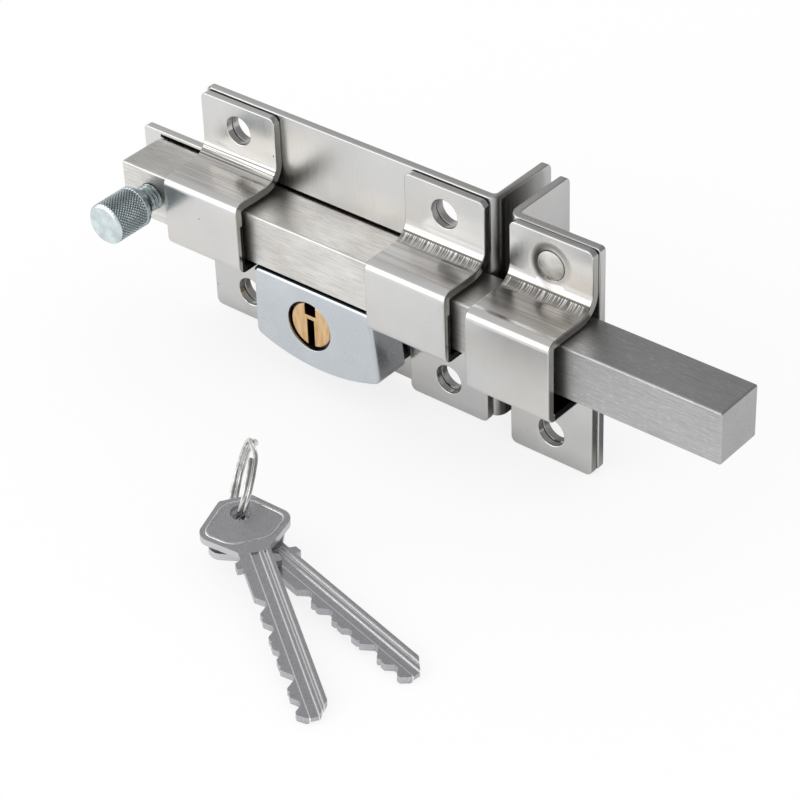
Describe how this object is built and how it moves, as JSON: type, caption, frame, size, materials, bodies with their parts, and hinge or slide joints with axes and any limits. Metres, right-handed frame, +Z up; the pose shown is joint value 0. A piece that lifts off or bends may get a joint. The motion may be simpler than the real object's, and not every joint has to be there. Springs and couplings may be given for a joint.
{
  "type": "rim lock",
  "caption": "Rim lock with a free square sliding bar in bridge guides on a door plate, a keyed cylinder that dogs the bar, a frame receiver, and keys on a split ring.",
  "frame": {"origin": "centre of the four door fixing holes, on the door's face (the back of the main plate)", "axes": "+X along the bar towards the frame and the receiver, +Y into the door, +Z up"},
  "size_m": [0.2097, 0.1612, 0.0735],
  "materials": {
    "polished_stainless": "bright polished sheet",
    "satin_chrome": "satin plated casting",
    "zinc_steel": "pale zinc plating",
    "plain_brass": "turned",
    "spring_steel": "drawn wire and strip",
    "bare_steel": "hardened, bare",
    "drawn_steel": "cold drawn, fine lengthwise lines",
    "nickel_wire": "bright nickel",
    "nickel_key": "matt nickel on brass"
  },
  "bodies": {
    "lock_case": {"back_plate": "polished_stainless", "left_guide": "polished_stainless", "middle_guide": "polished_stainless", "cylinder_housing": "satin_chrome", "housing_screws": "zinc_steel", "cylinder_barrel": "plain_brass", "driver_pins": "plain_brass", "pin_springs": "spring_steel", "pin_cover": "plain_brass"},
    "plug_turning": {"cylinder_plug": "plain_brass", "key_pins": "plain_brass", "plug_cam": "bare_steel", "plug_clip": "spring_steel"},
    "dog": {"locking_dog": "bare_steel"},
    "bar": {"bolt_bar": "drawn_steel", "knob_stud": "zinc_steel", "pull_knob": "zinc_steel"},
    "receiver": {"receiver_plate": "polished_stainless", "receiver_guide": "polished_stainless", "receiver_rivet": "zinc_steel"},
    "ring": {"key_ring": "nickel_wire"},
    "first_key": {"key_one": "nickel_key"},
    "second_key": {"key_two": "nickel_key"}
  },
  "joints": [
    {"name": "bar_slide", "type": "slide", "parent": "lock_case", "child": "bar", "axis": [1, 0, 0], "range_m": [-0.082, 0]},
    {"name": "plug_turn", "type": "hinge", "parent": "lock_case", "child": "plug_turning", "pos_m": [-0.00155, 0, -0.01685], "axis": [0, 1, 0], "range_deg": [0, 90]},
    {"name": "dog_lift", "type": "slide", "parent": "lock_case", "child": "dog", "axis": [0, 0, 1], "range_m": [0, 0.003]},
    {"name": "receiver_slide", "type": "slide", "parent": "lock_case", "child": "receiver", "axis": [1, 0, 0], "range_m": [0, 0.09]},
    {"name": "bunch_lift", "type": "slide", "parent": "lock_case", "child": "ring", "axis": [0, 0, 1], "range_m": [0, 0.05]},
    {"name": "first_key_swing", "type": "hinge", "parent": "ring", "child": "first_key", "pos_m": [0.03064, -0.08416, -0.02681], "axis": [0.1182, -0.0798, 0.9898], "range_deg": [-35, 0]},
    {"name": "second_key_swing", "type": "hinge", "parent": "ring", "child": "second_key", "pos_m": [0.0291, -0.08419, -0.03049], "axis": [0.0893, -0.0157, 0.9959], "range_deg": [0, 35]}
  ],
  "couplings": [
    {"joint": "dog_lift", "follows": "plug_turn", "m_per_rad": 0.0019}
  ]
}
